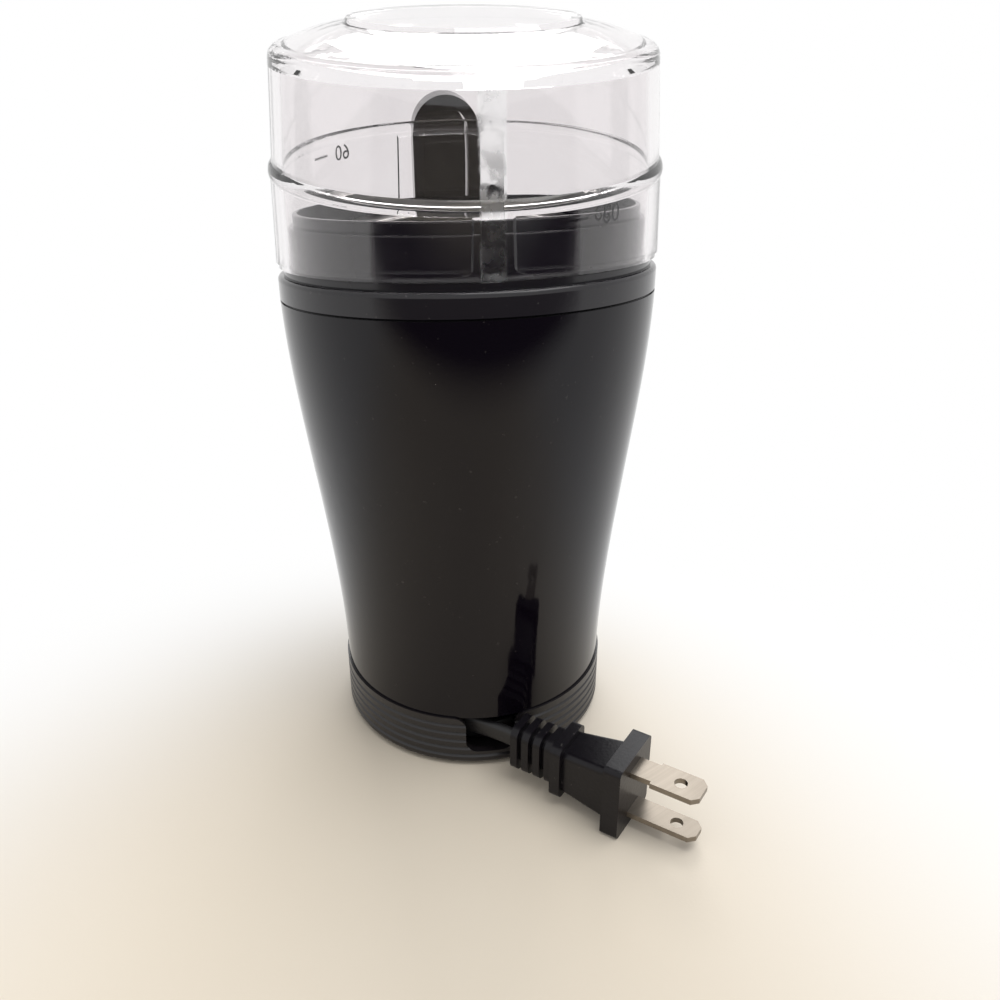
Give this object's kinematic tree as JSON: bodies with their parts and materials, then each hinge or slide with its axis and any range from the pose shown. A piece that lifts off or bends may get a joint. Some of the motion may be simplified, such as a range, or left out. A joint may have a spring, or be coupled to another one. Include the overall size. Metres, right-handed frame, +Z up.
{
  "type": "electric spice grinder",
  "caption": "Upright electric spice grinder with a clear domed lid keyed to a steel bowl, a rear-hinged push button tower, a two-arm blade on a small motor, and a cord that winds into the base",
  "frame": {"origin": "on the surface the grinder stands on, under the middle of the round base", "axes": "+Z up along the motor shaft; -Y towards the front, where the push button stands; +Y towards the back, where the cord leaves the base"},
  "size_m": [0.0905, 0.1269, 0.1775],
  "materials": {
    "body_plastic": "polished black moulded plastic",
    "base_plastic": "satin dark grey moulded plastic with fine turned grooves",
    "lid_plastic": "clear rigid moulded plastic, faint violet tint at the thick edges",
    "neck_plastic": "black moulded plastic, satin inside the neck",
    "button_plastic": "polished black moulded plastic",
    "inner_plastic": "unpolished dark moulded plastic",
    "white_nylon": "natural nylon moulding",
    "foot_rubber": "soft dark rubber",
    "seal_rubber": "soft grey silicone rubber",
    "bowl_steel": "drawn stainless steel with a fine circular brush",
    "blade_steel": "ground stainless steel",
    "shaft_steel": "ground steel",
    "screw_steel": "zinc plated steel",
    "lamination_steel": "stacked electrical steel laminations",
    "bracket_steel": "galvanised pressed steel",
    "copper_winding": "enamelled copper wire",
    "contact_brass": "plain brass",
    "carbon": "pressed carbon",
    "plated_blade": "nickel plated brass",
    "cord_pvc": "matte black flexible sheath",
    "plug_pvc": "matte black moulded plug",
    "live_sleeve": "black insulated wire",
    "neutral_sleeve": "white insulated wire"
  },
  "bodies": {
    "housing": {"base_ring": "base_plastic", "rubber_feet": "foot_rubber", "cord_spool": "inner_plastic", "body_shell": "body_plastic", "base_screws": "screw_steel", "carrier_plate": "inner_plastic", "carrier_screws": "screw_steel", "neck_housing": "neck_plastic", "housing_screws": "screw_steel", "hinge_pin": "shaft_steel", "button_spring": "shaft_steel", "microswitch": "inner_plastic", "switch_terminals": "contact_brass", "switch_bracket": "bracket_steel", "switch_screws": "screw_steel", "grinding_bowl": "bowl_steel", "bowl_gasket": "seal_rubber", "shaft_seal": "seal_rubber", "field_stator": "lamination_steel", "field_coils": "copper_winding", "upper_bracket": "bracket_steel", "lower_bracket": "bracket_steel", "upper_bearing": "contact_brass", "lower_bearing": "contact_brass", "motor_bolts": "screw_steel", "lower_mount": "seal_rubber", "upper_mount": "seal_rubber", "brush_holders": "contact_brass", "carbon_brushes": "carbon", "brush_springs": "shaft_steel", "cord_coil": "cord_pvc", "cord_tail": "cord_pvc", "cord_lead_in": "cord_pvc", "cord_gland": "seal_rubber", "cord_clamp": "inner_plastic", "clamp_screws": "screw_steel", "live_wire": "live_sleeve", "neutral_wire": "neutral_sleeve", "switch_wire": "live_sleeve", "plug_body": "plug_pvc", "plug_blades": "plated_blade"},
    "lid": {"lid": "lid_plastic"},
    "rotor": {"motor_shaft": "shaft_steel", "armature_core": "lamination_steel", "armature_windings": "copper_winding", "commutator": "copper_winding", "cooling_fan": "white_nylon", "blade_hub": "contact_brass", "blade": "blade_steel", "blade_nut": "blade_steel"},
    "button": {"power_button": "button_plastic"},
    "switch_rod": {"push_rod": "white_nylon", "switch_plunger": "white_nylon"}
  },
  "joints": [
    {"name": "lid_lift", "type": "slide", "parent": "housing", "child": "lid", "axis": [0, 0, 1], "range_m": [0, 0.06]},
    {"name": "blade_spin", "type": "hinge", "parent": "housing", "child": "rotor", "pos_m": [0, 0, 0.09], "axis": [0, 0, 1], "continuous": true},
    {"name": "button_press", "type": "hinge", "parent": "housing", "child": "button", "pos_m": [0, -0.04905, 0.107], "axis": [-1, 0, 0], "range_deg": [0, 4], "stiffness_Nm_per_rad": 1.2, "springref_deg": -2.86},
    {"name": "rod_slide", "type": "slide", "parent": "housing", "child": "switch_rod", "axis": [0, 0, -1], "range_m": [0, 0.00096], "deforming": ["button_spring"]}
  ],
  "couplings": [
    {"joint": "rod_slide", "follows": "button_press", "m_per_rad": 0.01355}
  ]
}
